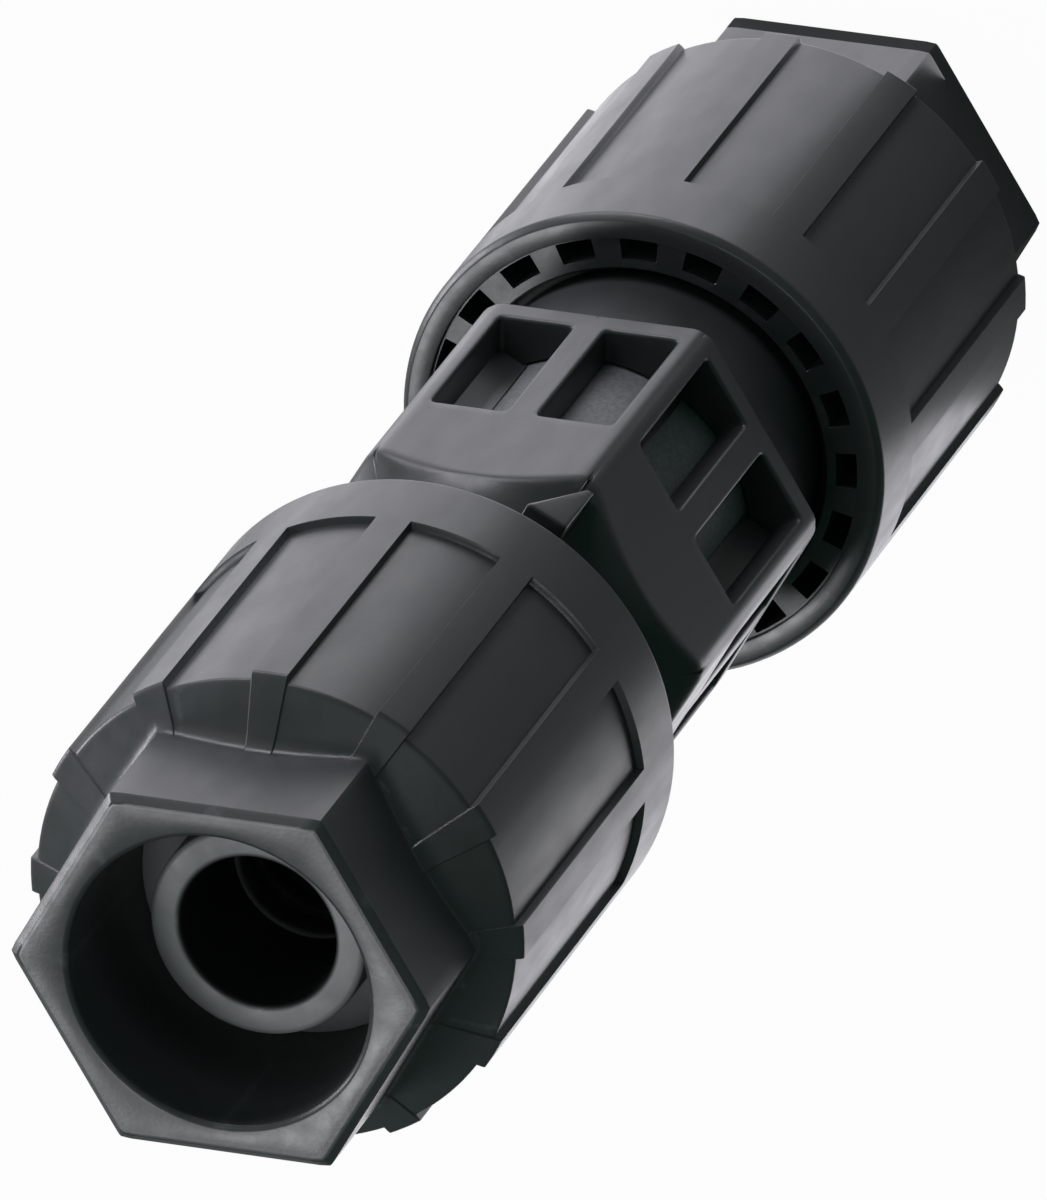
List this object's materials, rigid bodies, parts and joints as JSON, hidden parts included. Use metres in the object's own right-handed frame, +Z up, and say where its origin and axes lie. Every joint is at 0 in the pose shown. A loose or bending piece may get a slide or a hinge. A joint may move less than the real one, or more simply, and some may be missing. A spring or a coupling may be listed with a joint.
{
  "type": "circular connector",
  "caption": "Inline circular cable connector: hexagonal windowed centre housing with a screwed union nut and cable gland at each end.",
  "frame": {"origin": "centre of the hexagonal end face of the lower union nut, which the connector stands on", "axes": "+Z up along the connector's axis, +X through a corner of the hexagons, +Y square to a flat"},
  "size_m": [0.0326, 0.0326, 0.119],
  "materials": {
    "shell_plastic": "satin black moulded plastic, finely grained",
    "ring_plastic": "satin dark grey moulded plastic",
    "carrier_plastic": "satin charcoal moulded plastic",
    "seal_rubber": "soft matte black rubber",
    "contact_metal": "tin plated brass strip"
  },
  "bodies": {
    "housing": {"centre_housing": "shell_plastic", "lower_contact_carrier": "carrier_plastic", "upper_contact_carrier": "carrier_plastic", "lower_seal_ring": "seal_rubber", "upper_seal_ring": "seal_rubber", "fork_contact_1": "contact_metal", "fork_contact_2": "contact_metal", "fork_contact_3": "contact_metal", "fork_contact_4": "contact_metal", "fork_contact_5": "contact_metal"},
    "lower_gland": {"lower_pressure_ring": "ring_plastic", "lower_cable_seal": "seal_rubber", "lower_clamping_cage": "ring_plastic", "lower_splice_ring": "ring_plastic"},
    "lower_nut": {"lower_union_nut": "shell_plastic"},
    "upper_gland": {"upper_pressure_ring": "ring_plastic", "upper_cable_seal": "seal_rubber", "upper_clamping_cage": "ring_plastic", "upper_splice_ring": "ring_plastic"},
    "upper_nut": {"upper_union_nut": "shell_plastic"}
  },
  "joints": [
    {"name": "lower_gland_slide", "type": "slide", "parent": "housing", "child": "lower_gland", "axis": [0, 0, 1], "range_m": [0, 0.0045]},
    {"name": "lower_nut_turn", "type": "hinge", "parent": "lower_gland", "child": "lower_nut", "pos_m": [0, 0, 0.025], "axis": [0, 0, 1], "range_deg": [0, 540]},
    {"name": "upper_gland_slide", "type": "slide", "parent": "housing", "child": "upper_gland", "axis": [0, 0, -1], "range_m": [0, 0.0045]},
    {"name": "upper_nut_turn", "type": "hinge", "parent": "upper_gland", "child": "upper_nut", "pos_m": [0, 0, 0.094], "axis": [0, 0, -1], "range_deg": [0, 540]}
  ],
  "couplings": [
    {"joint": "lower_gland_slide", "follows": "lower_nut_turn", "m_per_rad": 0.00047746},
    {"joint": "upper_gland_slide", "follows": "upper_nut_turn", "m_per_rad": 0.00047746}
  ]
}
